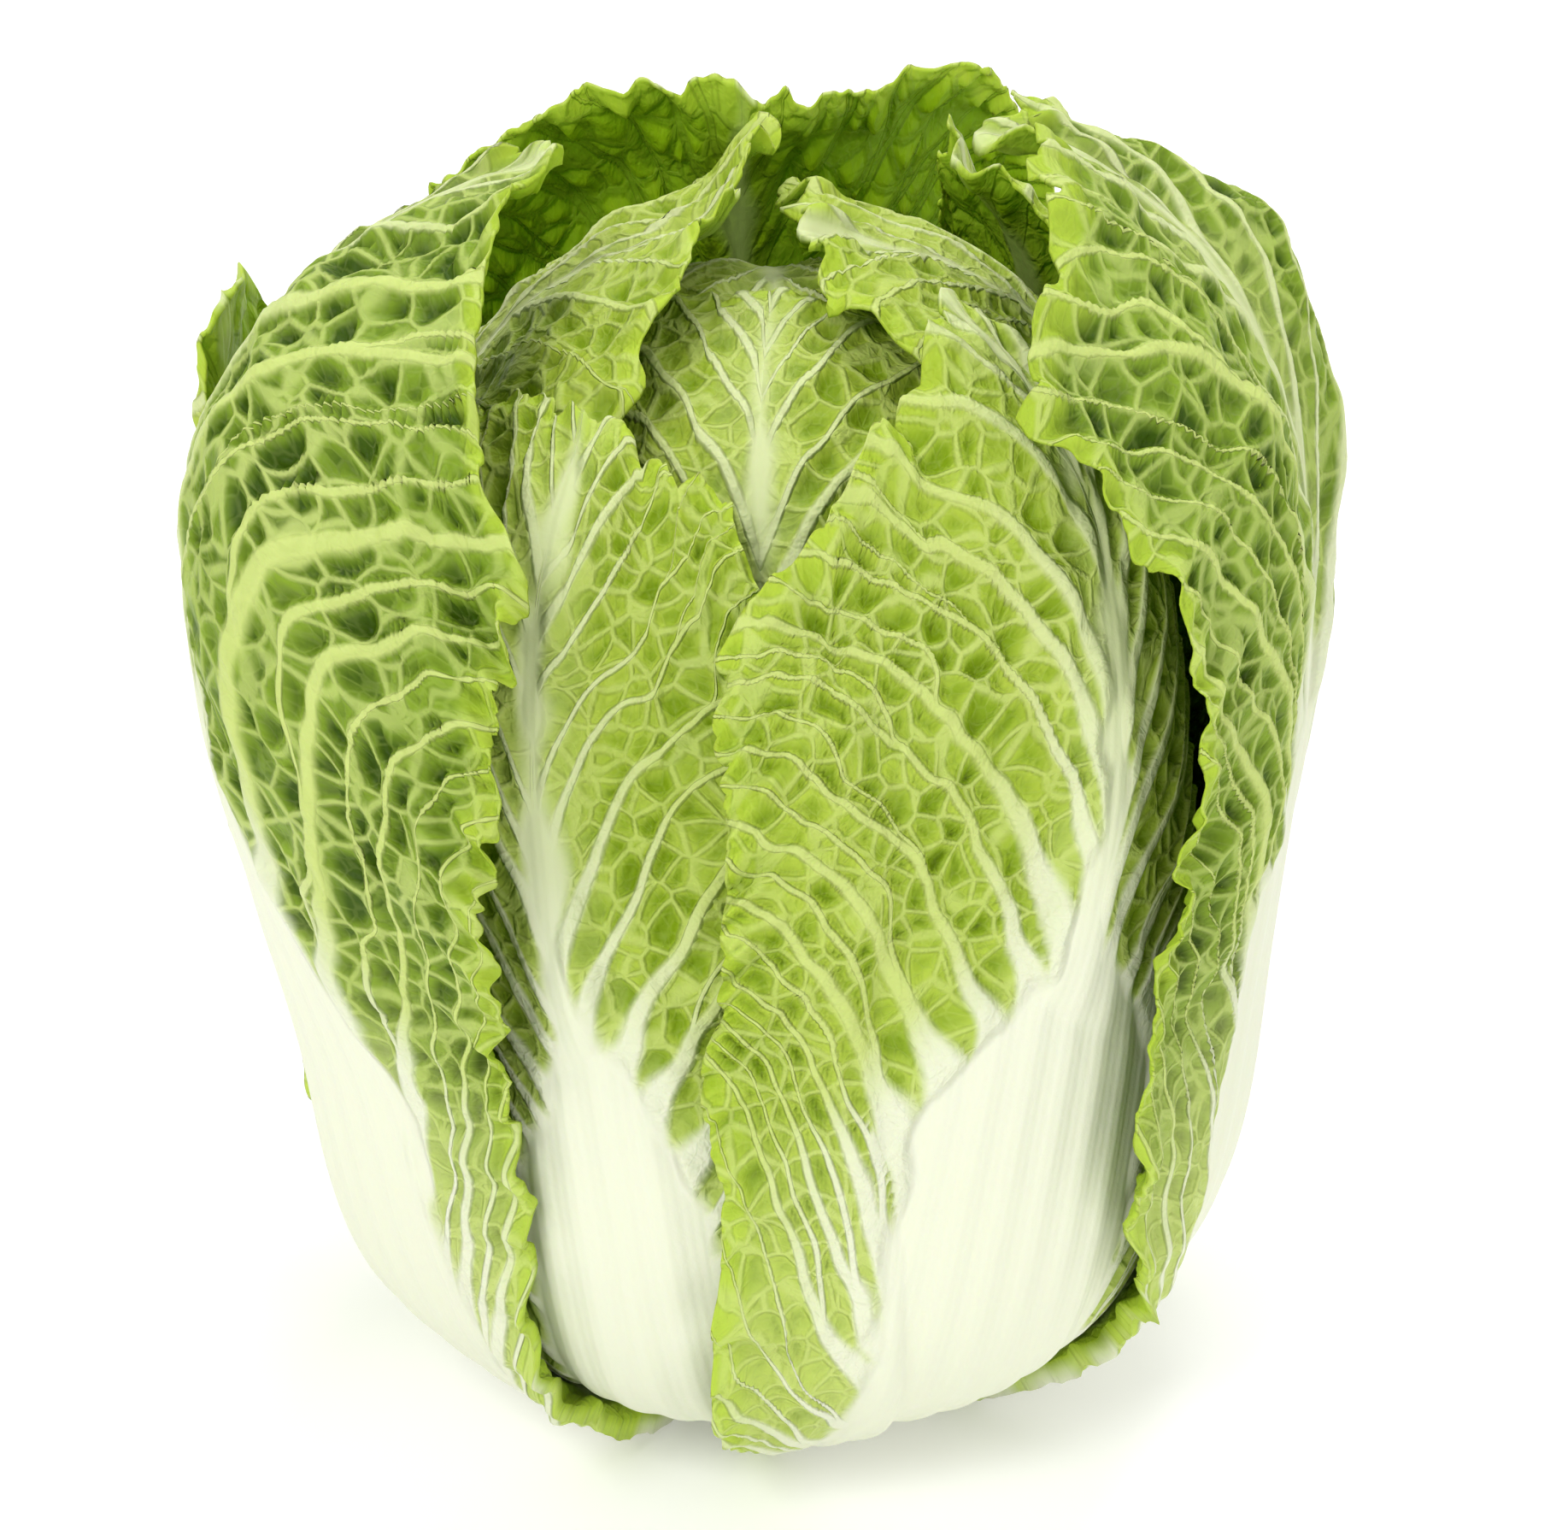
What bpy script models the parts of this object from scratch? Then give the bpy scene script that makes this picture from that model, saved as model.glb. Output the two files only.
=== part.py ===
"""A head of napa cabbage, standing on its cut core.

Every leaf is a closed shell of its own.  All shells are star-shaped about one point, the growing
point near the tip of the core, so a leaf is described by directions from that point and by how far
out its inner and outer faces lie in each direction.  Leaves are laid from the heart outwards, and
each one is draped over those already there, so no two of them ever meet.

Azimuth 0 is the front of the head (-Y) and grows towards +X.  Elevation 90 is straight up.
"""

import math

import bmesh
import bpy
import numpy as np

# Driving dimensions, in metres and degrees
GROWING_POINT = 0.085        # height of the point that every shell surrounds
HEAD_RADIUS = 0.0915
DOME_HEIGHT = 0.143          # growing point to the top of the closed head
FOOT_DEPTH = 0.0868          # growing point to the flattened underside
SQUARENESS = 2.5             # exponent of the head's outline: 2 is an ellipse, more is a fuller barrel
FOOT_SQUARENESS = 2.9        # the same below the growing point
CORE_HALF_ANGLE = 18.0       # the core is a cone with its apex at the growing point
CORE_CLEARANCE = 0.0009
CORE_BLUNT_RADIUS = 0.0025

BLADE = 0.0014               # thickness of a leaf blade
LEAF_GAP = 0.0012            # radial space left when a leaf is laid over the next
FACET_GAP = 0.0007           # least radial space between the flat facets of two leaves
FLOOR_CLEARANCE = 0.0006     # the leaf bases stay this far above the cut face of the core

MAP_STEP = 2.0               # degrees for each cell of the map that leaves are draped over
MAP_REACH = 166.0            # degrees from straight up that the map covers
FACET_SAMPLES = 9            # points along each side of a facet when it is tested or printed

GREEN = {"pale": (0.62, 0.72, 0.32), "mid": (0.42, 0.58, 0.18), "deep": (0.27, 0.43, 0.12)}
CORE_COLOUR = (0.87, 0.86, 0.70)

# The leaves that show.  azimuth and lean: the midrib at the base and how far it swings by the tip.
# level and crown: the least share of the head's outline that the leaf stands at, at the side and at
# the top.  tip: elevation of its end.  tilt: how far the arcs across the leaf lean back near the top.
# round: how much shorter the leaf is at its corners than at its midrib.
# left, right: reach either side of the midrib in degrees, at even steps from base to tip.
# puff: how far the leaf bulges away from the head, and at what share of its length.
# stand: how far its end stands off the head, and hug: the share of that lost at its side margins.
# stalk: thickness of its stalk.
SHOWN_LEAVES = [
    dict(name="inner_leaf_back", green="pale", azimuth=180, lean=0, level=0.78, crown=0.87, tip=95, tilt=0.8,
         left=(60, 60, 58, 56, 52, 40), right=(60, 60, 58, 56, 52, 40), stalk=0.0035),
    dict(name="inner_leaf_front", green="pale", azimuth=4, lean=-8, level=0.80, crown=0.885, tip=88, tilt=0.5,
         left=(55, 56, 56, 55, 52, 40), right=(55, 56, 56, 55, 52, 40), stalk=0.0035),
    dict(name="inner_leaf_right", green="pale", azimuth=104, lean=0, level=0.81, crown=0.895, tip=88,
         tilt=0.8, left=(55, 60, 64, 66, 62, 40), right=(55, 56, 56, 52, 48, 34), stalk=0.004, stand=0.007),
    dict(name="inner_leaf_left", green="pale", azimuth=-96, lean=-4, level=0.82, crown=0.905, tip=88,
         tilt=0.8, left=(55, 56, 56, 52, 46, 30), right=(55, 60, 66, 70, 68, 44), stalk=0.004, stand=0.008),
    dict(name="leaf_front_left", green="mid", azimuth=-17, lean=-15, level=0.88, crown=0.93, tip=65, tilt=0.0,
         left=(54, 50, 48, 46, 40, 30), right=(40, 34, 32, 33, 40, 25), stalk=0.0075, round=0.03),
    dict(name="leaf_front_right", green="mid", azimuth=28, lean=23, level=0.89, crown=0.94, tip=73.4,
         tilt=0.0, left=(33, 35, 36.5, 42, 46.5, 54), right=(34, 32, 30, 28, 26, 20), stalk=0.0085),
    dict(name="leaf_back_right", green="mid", azimuth=133, lean=6, level=0.87, crown=0.93, tip=70, tilt=0.2,
         left=(46, 44, 44, 46, 42, 30), right=(46, 46, 44, 38, 28, 16), stalk=0.006, stand=0.008),
    dict(name="leaf_back", green="deep", azimuth=180, lean=6, level=0.88, crown=0.94, tip=68, tilt=0.0,
         left=(44, 42, 40, 42, 42, 32), right=(44, 42, 42, 42, 44, 44), stalk=0.0065, round=0.1, stand=0.020),
    dict(name="leaf_back_left", green="mid", azimuth=-122, lean=12, level=0.88, crown=0.93, tip=46, tilt=0.1,
         left=(44, 44, 44, 40, 34, 24), right=(40, 38, 30, 16, 8, 9), stalk=0.006, puff=(0.044, 1.0)),
    dict(name="outer_leaf_left", green="deep",
         azimuth=-57, lean=-28, level=0.90, crown=0.95, tip=76.5, tilt=0.1,
         left=(34, 34, 34, 28, 14, 7), right=(33, 28.5, 31.5, 38, 44, 45), stalk=0.008,
         puff=(0.033, 0.74), stand=0.011, hug=0.7),
    dict(name="outer_leaf_right", green="deep",
         azimuth=75, lean=25, level=0.90, crown=0.95, tip=75.5, tilt=0.1,
         left=(32, 22, 37, 39.5, 44, 55), right=(32, 34, 36, 34, 26, 14), stalk=0.008, round=0.1,
         puff=(0.021, 0.74), stand=0.017, hug=0.7),
]

# The hidden leaves inside, each a golden angle on from the last
HEART_LEAVES = 15
HEART_FIRST_LEVEL, HEART_LAST_LEVEL, HEART_LAST_CROWN = 0.18, 0.72, 0.80
GOLDEN_ANGLE = 137.5
HEART_REACH = (58, 66, 72, 74, 68, 44)
HEART_TIPS = (84.0, 96.0)    # youngest and oldest
HEART_STALKS = (0.0012, 0.0034)
HEART_GRID = (8, 9)          # columns and rows of facet corners
SHOWN_GRID = (12, 14)
SEED_SHARE = 0.14            # the map starts as the head's outline at this share
RAISING_ROUNDS = 8           # times a leaf's corners are raised clear of what lies beneath
CORE_TOP_STEPS = ((0.55, 0.0015), (0.0, 0.002))   # shares of the blunt radius and heights above it


def clear_scene():
    for obj in list(bpy.data.objects):
        bpy.data.objects.remove(obj, do_unlink=True)


def outline(elevation, level=1.0, crown=1.0):
    """Distance from the growing point to one layer of the head, at an elevation in radians."""
    side, up = np.cos(elevation), np.sin(elevation)
    power = np.where(up > 0, SQUARENESS, FOOT_SQUARENESS)
    across = np.abs(side) / (HEAD_RADIUS * level)
    along = np.abs(up) / np.where(up > 0, DOME_HEIGHT * crown, FOOT_DEPTH * level)
    return (across**power + along**power) ** (-1 / power)


def elevation_table(first, last):
    """Elevations from first to last, in radians, and the share of the outline's length at each."""
    angle = np.linspace(first, last, 400)
    reach = outline(np.minimum(angle, np.pi - angle))
    steps = np.hypot(np.diff(reach * np.cos(angle)), np.diff(reach * np.sin(angle)))
    length = np.concatenate([[0.0], np.cumsum(steps)])
    return angle, length / length[-1]


def spread(values, share):
    """Values given at even steps of share, joined by a smooth curve."""
    knots = np.linspace(0, 1, len(values))
    index = np.clip(np.searchsorted(knots, share, side="right") - 1, 0, len(values) - 2)
    v = np.concatenate([[2 * values[0] - values[1]], values, [2 * values[-1] - values[-2]]])
    t = (share - knots[index]) * (len(values) - 1)
    a, b, c, d = v[index], v[index + 1], v[index + 2], v[index + 3]
    return 0.5 * (2 * b + (c - a) * t + (2 * a - 5 * b + 4 * c - d) * t**2 + (3 * b - a - 3 * c + d) * t**3)


def smooth(edge0, edge1, x):
    t = np.clip((x - edge0) / (edge1 - edge0), 0, 1)
    return t * t * (3 - 2 * t)


def leaf_directions(leaf, u, v):
    """Unit directions for u, -1 to 1 across the leaf, and v, 0 to 1 from its base to its tip."""
    first, last = math.radians(CORE_HALF_ANGLE - 90), math.radians(leaf["tip"])
    angles, shares = elevation_table(first, last)
    along = np.clip(v - leaf.get("round", 0.2) * u**2 * smooth(0.35, 1.0, v), 0, 1)
    elevation = np.interp(along, shares, angles)
    azimuth = np.radians(leaf["azimuth"] + leaf["lean"] * smooth(0.25, 1.0, along))
    reach = np.where(u < 0, spread(leaf["left"], v), spread(leaf["right"], v))
    turn = np.radians(u * reach)
    # A row is an arc about an axis in the midrib's plane, upright low down and tilted back near the top.
    axis_tilt = leaf["tilt"] * np.maximum(elevation, 0)
    out = np.stack([np.sin(azimuth), -np.cos(azimuth), 0 * azimuth], -1)
    sideways = np.stack([np.cos(azimuth), np.sin(azimuth), 0 * azimuth], -1)
    up = np.array([0.0, 0.0, 1.0])
    axis = -np.sin(axis_tilt)[..., None] * out + np.cos(axis_tilt)[..., None] * up
    midrib = np.cos(elevation)[..., None] * out + np.sin(elevation)[..., None] * up
    along_axis = (midrib * axis).sum(-1, keepdims=True) * axis
    return (
        along_axis
        + (midrib - along_axis) * np.cos(turn)[..., None]
        + sideways * (np.linalg.norm(midrib - along_axis, axis=-1) * np.sin(turn))[..., None]
    )


def thickness(leaf, u, v):
    """A stalk, thick and broad at the base, that fades into the blade."""
    stalk = leaf["stalk"] * (0.62 + 0.38 * smooth(0.0, 0.3, v)) * (1 - 0.86 * smooth(0.3, 0.95, v))
    half_width = 0.66 - 0.50 * smooth(0.12, 0.85, v)
    return BLADE + stalk * np.exp(-((np.abs(u) / half_width) ** 2.6))


def lift(leaf, u, v):
    """How far the leaf stands off what lies beneath it."""
    height, where = leaf.get("puff", (0.0, 0.6))
    puff = height * np.exp(-(((v - where) / 0.2) ** 2)) * (1 - 0.75 * smooth(0.35, 1.0, np.abs(u)))
    hug = 1 - leaf.get("hug", 0.0) * smooth(0.4, 1.0, np.abs(u))
    return puff + leaf.get("stand", 0.0) * hug * smooth(0.62, 1.0, v)


class ShellMap:
    """The outer surface so far: a distance for each direction, on a disc centred on straight up."""

    def __init__(self, share):
        self.half = int(MAP_REACH / MAP_STEP) + 3
        grid = (np.arange(2 * self.half + 1) - self.half) * MAP_STEP
        from_top = np.hypot(*np.meshgrid(grid, grid, indexing="ij"))
        self.top = outline(np.radians(90 - np.minimum(from_top, 180)), share, share)

    def cells(self, directions):
        from_top = np.degrees(np.arccos(np.clip(directions[..., 2], -1, 1))) / MAP_STEP
        flat = np.maximum(np.hypot(directions[..., 0], directions[..., 1]), 1e-9)
        return (
            self.half + from_top * directions[..., 0] / flat,
            self.half + from_top * directions[..., 1] / flat,
        )

    def softened(self, widen, passes):
        """The map grown sideways by some cells and then blurred, so that it lies on or above itself."""
        m = self.top.copy()
        for _ in range(widen):
            p = np.pad(m, 1, mode="edge")
            m = np.max([p[i : i + m.shape[0], j : j + m.shape[1]] for i in range(3) for j in range(3)], 0)
        for _ in range(passes):
            p = np.pad(m, 1, mode="edge")
            m = (p[:-2] + 2 * p[1:-1] + p[2:]) / 4
            m = (m[:, :-2] + 2 * m[:, 1:-1] + m[:, 2:]) / 4
        return m

    def read(self, field, directions):
        """The field at these directions, on a cubic B-spline."""
        x, y = self.cells(directions)
        i, j = np.floor(x).astype(int), np.floor(y).astype(int)
        total = 0.0
        last = 2 * self.half
        for a, wa in zip(range(-1, 3), spline_weights(x - i)):
            for b, wb in zip(range(-1, 3), spline_weights(y - j)):
                total = total + wa * wb * field[np.clip(i + a, 0, last), np.clip(j + b, 0, last)]
        return total

    def nearest(self, directions):
        x, y = self.cells(directions)
        return np.rint(x).astype(int), np.rint(y).astype(int)

    def print_facets(self, points):
        """Raises the map to the facets of a grid of points."""
        directions, distance = seen_from_centre(facet_points(points))
        i, j = self.nearest(directions)
        np.maximum.at(self.top, (i.ravel(), j.ravel()), distance.ravel())

    def shortfall(self, field, points):
        """How far each point of a grid has to rise for its facets to clear the field."""
        directions, distance = seen_from_centre(facet_points(points))
        cell = (field[self.nearest(directions)] + FACET_GAP - distance).max(axis=(0, 3))
        rows, columns = points.shape[:2]
        rise = np.zeros((rows, columns))
        for r in (0, 1):
            for c in (0, 1):
                corner = rise[r : r + rows - 1, c : c + columns - 1]
                np.maximum(corner, cell, out=corner)
        return rise


def facet_points(points):
    """Points spread over the two facets of every cell of a grid, as [facet, row, column, sample]."""
    n = FACET_SAMPLES
    shares = np.array([(i, j, n - i - j) for i in range(n + 1) for j in range(n + 1 - i)]) / n
    a, b, c, d = points[:-1, :-1], points[:-1, 1:], points[1:, 1:], points[1:, :-1]
    return np.stack([np.einsum("kt,trcx->rckx", shares, np.stack(f)) for f in ((a, b, c), (a, c, d))])


def seen_from_centre(points):
    offset = points - np.array([0, 0, GROWING_POINT])
    distance = np.linalg.norm(offset, axis=-1)
    return offset / distance[..., None], distance


def spline_weights(t):
    return (1 - t) ** 3 / 6, (3 * t**3 - 6 * t**2 + 4) / 6, (-3 * t**3 + 3 * t**2 + 3 * t + 1) / 6, t**3 / 6


def drape(shells, leaf, u, v, field):
    """Inner and outer distance of the leaf at (u, v), laid over the softened map."""
    directions = leaf_directions(leaf, u, v)
    elevation = np.arcsin(np.clip(directions[..., 2], -1, 1))
    least = outline(elevation, leaf["level"], leaf["crown"])
    inner = np.maximum(shells.read(field, directions) + LEAF_GAP, least) + lift(leaf, u, v)
    return directions, inner, inner + thickness(leaf, u, v)


def above_floor(directions, inner, outer):
    """Stops both faces short of the floor under the head, keeping the thickness of a blade."""
    floor = (GROWING_POINT - FLOOR_CLEARANCE) / np.maximum(-directions[..., 2], 1e-6)
    outer = np.where(directions[..., 2] < 0, np.minimum(outer, floor), outer)
    return np.minimum(inner, outer - BLADE), outer


def grid_shell(name, inner, outer):
    """A closed mesh between two grids of points of the same shape."""
    rows, columns = inner.shape[:2]
    mesh = bmesh.new()
    skins = [[[mesh.verts.new(p) for p in row] for row in grid] for grid in (inner, outer)]
    for skin, flip in zip(skins, (True, False)):
        for r in range(rows - 1):
            for c in range(columns - 1):
                near_left, near_right = skin[r][c], skin[r][c + 1]
                far_left, far_right = skin[r + 1][c], skin[r + 1][c + 1]
                for facet in ((near_left, near_right, far_right), (near_left, far_right, far_left)):
                    mesh.faces.new(facet[::-1] if flip else facet)
    border = [(0, c) for c in range(columns)] + [(r, columns - 1) for r in range(1, rows)]
    border += [(rows - 1, c) for c in range(columns - 2, -1, -1)] + [(r, 0) for r in range(rows - 2, 0, -1)]
    for (r0, c0), (r1, c1) in zip(border, border[1:] + border[:1]):
        mesh.faces.new([skins[0][r0][c0], skins[0][r1][c1], skins[1][r1][c1], skins[1][r0][c0]])
    bmesh.ops.triangulate(mesh, faces=mesh.faces[:])
    bmesh.ops.recalc_face_normals(mesh, faces=mesh.faces[:])
    data = bpy.data.meshes.new(name)
    mesh.to_mesh(data)
    mesh.free()
    obj = bpy.data.objects.new(name, data)
    bpy.context.scene.collection.objects.link(obj)
    return obj


def material(name, colour, roughness):
    found = bpy.data.materials.get(name)
    if found:
        return found
    made = bpy.data.materials.new(name)
    made.use_nodes = True
    shader = made.node_tree.nodes["Principled BSDF"]
    shader.inputs["Base Color"].default_value = (*colour, 1)
    shader.inputs["Roughness"].default_value = roughness
    shader.inputs["Metallic"].default_value = 0.0
    return made


def to_points(directions, distance):
    return directions * distance[..., None] + np.array([0, 0, GROWING_POINT])


def build_leaf(shells, leaf, columns, rows):
    """Lays a leaf over the map as flat facets, raised where they would cut what lies beneath."""
    field = shells.softened(widen=1, passes=3)
    u, v = np.meshgrid(np.linspace(-1, 1, columns), np.linspace(0, 1, rows))
    directions, inner, outer = drape(shells, leaf, u, v, field)
    depth = outer - inner
    ceiling = shells.softened(widen=1, passes=0)
    for _ in range(RAISING_ROUNDS):
        inner += shells.shortfall(ceiling, to_points(directions, inner))
    inner, outer = above_floor(directions, inner, inner + depth)
    obj = grid_shell(leaf["name"], to_points(directions, inner), to_points(directions, outer))
    obj.data.materials.append(material("leaf_" + leaf["green"], GREEN[leaf["green"]], 0.5))
    shells.print_facets(to_points(directions, outer))
    return obj


def heart_leaves():
    for i in range(HEART_LEAVES):
        age = i / (HEART_LEAVES - 1)
        yield dict(
            name=f"heart_leaf_{i + 1:02d}",
            azimuth=(i * GOLDEN_ANGLE) % 360,
            lean=6.0,
            level=HEART_FIRST_LEVEL + (HEART_LAST_LEVEL - HEART_FIRST_LEVEL) * age,
            crown=HEART_FIRST_LEVEL + (HEART_LAST_CROWN - HEART_FIRST_LEVEL) * age,
            tip=HEART_TIPS[0] + (HEART_TIPS[1] - HEART_TIPS[0]) * age,
            tilt=0.8,
            left=HEART_REACH,
            right=HEART_REACH,
            stalk=HEART_STALKS[0] + (HEART_STALKS[1] - HEART_STALKS[0]) * age,
            green="pale",
        )


def build_core():
    """The stem: a cone cut flat at the bottom and blunt at the top."""
    slope = math.tan(math.radians(CORE_HALF_ANGLE))
    inset = CORE_CLEARANCE / math.cos(math.radians(CORE_HALF_ANGLE))
    foot = GROWING_POINT * slope - inset
    top = GROWING_POINT - (CORE_BLUNT_RADIUS + inset) / slope
    profile = [(0.0, 0.0), (foot, 0.0), (CORE_BLUNT_RADIUS, top)]
    profile += [(CORE_BLUNT_RADIUS * share, top + rise) for share, rise in CORE_TOP_STEPS]
    mesh = bmesh.new()
    verts = [mesh.verts.new((r, 0, z)) for r, z in profile]
    edges = [mesh.edges.new(pair) for pair in zip(verts, verts[1:])]
    bmesh.ops.spin(mesh, geom=verts + edges, cent=(0, 0, 0), axis=(0, 0, 1), angle=2 * math.pi, steps=40)
    bmesh.ops.remove_doubles(mesh, verts=mesh.verts[:], dist=1e-6)
    bmesh.ops.recalc_face_normals(mesh, faces=mesh.faces[:])
    data = bpy.data.meshes.new("core")
    mesh.to_mesh(data)
    mesh.free()
    obj = bpy.data.objects.new("core", data)
    obj.data.materials.append(material("core_flesh", CORE_COLOUR, 0.6))
    bpy.context.scene.collection.objects.link(obj)
    return obj


def main():
    clear_scene()
    build_core()
    shells = ShellMap(SEED_SHARE)
    for leaf in heart_leaves():
        build_leaf(shells, leaf, *HEART_GRID)
    for leaf in SHOWN_LEAVES:
        build_leaf(shells, leaf, *SHOWN_GRID)


main()
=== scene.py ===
"""A head of napa cabbage: crinkled, veined leaves laid over each other around a cut core.

Every leaf is described by directions from the growing point, near the tip of the core, and by how
far out its inner and outer faces lie in each direction.  Leaves are laid from the heart outwards,
each one over those already there.  Azimuth 0 is the front of the head (-Y) and grows towards +X.
"""

import math
from dataclasses import dataclass

import bmesh
import bpy
import numpy as np
from bpy.props import FloatProperty, FloatVectorProperty, PointerProperty
from bpy.types import Operator, Panel, PropertyGroup
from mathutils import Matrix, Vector


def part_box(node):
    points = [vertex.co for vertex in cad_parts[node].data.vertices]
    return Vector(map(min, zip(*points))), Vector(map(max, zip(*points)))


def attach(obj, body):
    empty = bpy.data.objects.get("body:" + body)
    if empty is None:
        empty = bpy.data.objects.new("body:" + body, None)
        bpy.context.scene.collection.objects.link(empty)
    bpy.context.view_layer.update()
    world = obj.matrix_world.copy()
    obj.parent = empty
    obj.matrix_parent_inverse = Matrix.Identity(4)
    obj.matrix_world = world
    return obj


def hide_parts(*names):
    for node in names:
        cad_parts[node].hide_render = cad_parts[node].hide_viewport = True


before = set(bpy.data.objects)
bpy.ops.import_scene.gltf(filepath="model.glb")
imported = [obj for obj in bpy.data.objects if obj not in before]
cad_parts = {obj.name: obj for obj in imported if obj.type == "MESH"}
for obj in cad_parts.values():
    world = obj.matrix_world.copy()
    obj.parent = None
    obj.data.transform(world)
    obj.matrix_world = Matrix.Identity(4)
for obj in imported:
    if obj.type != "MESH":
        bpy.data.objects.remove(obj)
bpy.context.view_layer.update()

bl_info = {
    "name": "Napa cabbage",
    "version": (1, 0, 0),
    "blender": (4, 5, 0),
    "location": "View3D > Sidebar > Cabbage",
    "description": "Builds the leaves and core of a head of napa cabbage",
    "category": "Add Mesh",
}

CORE_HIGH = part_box("core")[1]

# The core's cone and the growing point at its apex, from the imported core
CORE_HALF_ANGLE = 18.0
CORE_CLEARANCE = 0.0009
CUT_EDGE = 0.0006
FOOT_RADIUS = CORE_HIGH[0]
GROWING_POINT = (FOOT_RADIUS + CORE_CLEARANCE / math.cos(math.radians(CORE_HALF_ANGLE))) / math.tan(
    math.radians(CORE_HALF_ANGLE)
)

# The closed head's outline
HEAD_RADIUS = 0.0915
DOME_HEIGHT = 0.143
FOOT_DEPTH = 0.0868
SQUARENESS = 2.5
FOOT_SQUARENESS = 2.9

LEAF_GAP = 0.0006
FLOOR_CLEARANCE = 0.0016
STALK_FLUTE_PITCH = 0.0072
FINE_FLUTE_PITCH = 0.0018
FINE_NET_SCALE = 2.6

# The map of the head: degrees from cell to cell, and from straight up to its rim
MAP_STEP = 2.0
MAP_REACH = 166.0


@dataclass
class Leaf:
    """One leaf's place, outline and finish, with angles in degrees.

    azimuth, lean: the midrib at the base and its swing by the tip.  level, crown: least share of the
    head's outline at the side and at the top.  tip: elevation of the end.  left, right: reach either
    side of the midrib, at even steps from base to tip.  tilt: how far the arcs across the leaf lean
    back near the top.  rounding: how much earlier the corners end than the tip.
    """

    name: str
    azimuth: float
    lean: float
    level: float
    crown: float
    tip: float
    left: tuple
    right: tuple
    tilt: float = 0.1
    rounding: float = 0.2
    stalk: float = 0.004         # thickness of the stalk
    rib: float = 0.013           # half width of the white stalk
    midrib: float = 0.0030       # half width of the midrib above the stalk
    rib_end: tuple = (0.40, 0.60)  # shares of the length between which the stalk narrows to a midrib
    puff: tuple = (0.0, 0.7)     # how far the leaf bulges, and where
    stand: float = 0.0           # how far its end stands off
    hug: float = 0.0             # share of that lost at the side margins
    rib_slope: float = 1.0       # how steeply the side ribs leave the midrib
    rib_spread: float = 1.0      # how far apart they are
    bold: float = 1.0            # weight of the side ribs
    relief: float = 1.0          # depth of the pockets between the veins
    ruffle: float = 1.0          # height of the frilled margin
    look: str = "full"           # which finish it has
    seed: int = 1
    rows: int = 290              # points from base to tip
    columns: int = 164           # spaces across


INNER_LEAVES = [
    Leaf("inner_leaf_back", 180, 0, 0.78, 0.87, 95, (60, 60, 58, 56, 52, 40), (60, 60, 58, 56, 52, 40),
         tilt=0.8, stalk=0.0035, relief=0.8, ruffle=1.5, look="young", seed=3, rows=200, columns=150),
    Leaf("inner_leaf_front", 4, -8, 0.80, 0.885, 88, (55, 56, 56, 55, 52, 40), (55, 56, 56, 55, 52, 40),
         tilt=0.5, stalk=0.0035, rib=0.008, midrib=0.0014, relief=0.6, ruffle=0.9, look="young", seed=5,
         rows=220, columns=150),
    Leaf("inner_leaf_right", 104, 0, 0.81, 0.895, 88, (55, 60, 64, 66, 62, 40), (55, 56, 56, 52, 48, 34),
         tilt=0.8, relief=0.9, ruffle=1.4, stand=0.006, look="young", seed=7, rows=220, columns=160),
    Leaf("inner_leaf_left", -96, -4, 0.82, 0.905, 88, (55, 56, 56, 52, 46, 30), (55, 60, 66, 70, 68, 44),
         tilt=0.8, relief=1.0, ruffle=1.5, stand=0.007, look="young", seed=9, rows=220, columns=160),
]
FRONT_LEAVES = [
    Leaf("leaf_front_left", -17, -15, 0.88, 0.93, 65, (54, 50, 48, 46, 40, 30), (40, 34, 32, 33, 40, 25),
         tilt=0.0, rounding=0.03, stalk=0.0075, rib=0.0135, relief=0.8, seed=11),
    Leaf("leaf_front_right", 28, 23, 0.89, 0.94, 73.4, (33, 35, 36.5, 42, 46.5, 54), (34, 32, 30, 28, 26, 20),
         tilt=0.0, stalk=0.0085, rib=0.021, rib_end=(0.46, 0.60), rib_slope=1.3, rib_spread=1.15,
         bold=1.4, relief=0.95, seed=13),
]
BACK_LEAVES = [
    Leaf("leaf_back_right", 133, 6, 0.87, 0.93, 70, (46, 44, 44, 46, 42, 30), (46, 46, 44, 38, 28, 16),
         tilt=0.2, stalk=0.006, rib=0.018, stand=0.008, seed=15, rows=270, columns=150),
    Leaf("leaf_back", 180, 6, 0.88, 0.94, 68, (44, 42, 40, 42, 42, 32), (44, 42, 42, 42, 44, 44),
         tilt=0.0, rounding=0.1, stalk=0.0065, rib=0.018, stand=0.020, ruffle=0.45, look="outer", seed=27,
         rows=290, columns=160),
    Leaf("leaf_back_left", -122, 12, 0.88, 0.93, 46, (44, 44, 44, 40, 34, 24), (40, 38, 30, 16, 8, 9),
         stalk=0.006, rib=0.018, puff=(0.044, 1.0), ruffle=0.6, seed=19, rows=250, columns=150),
]
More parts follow.
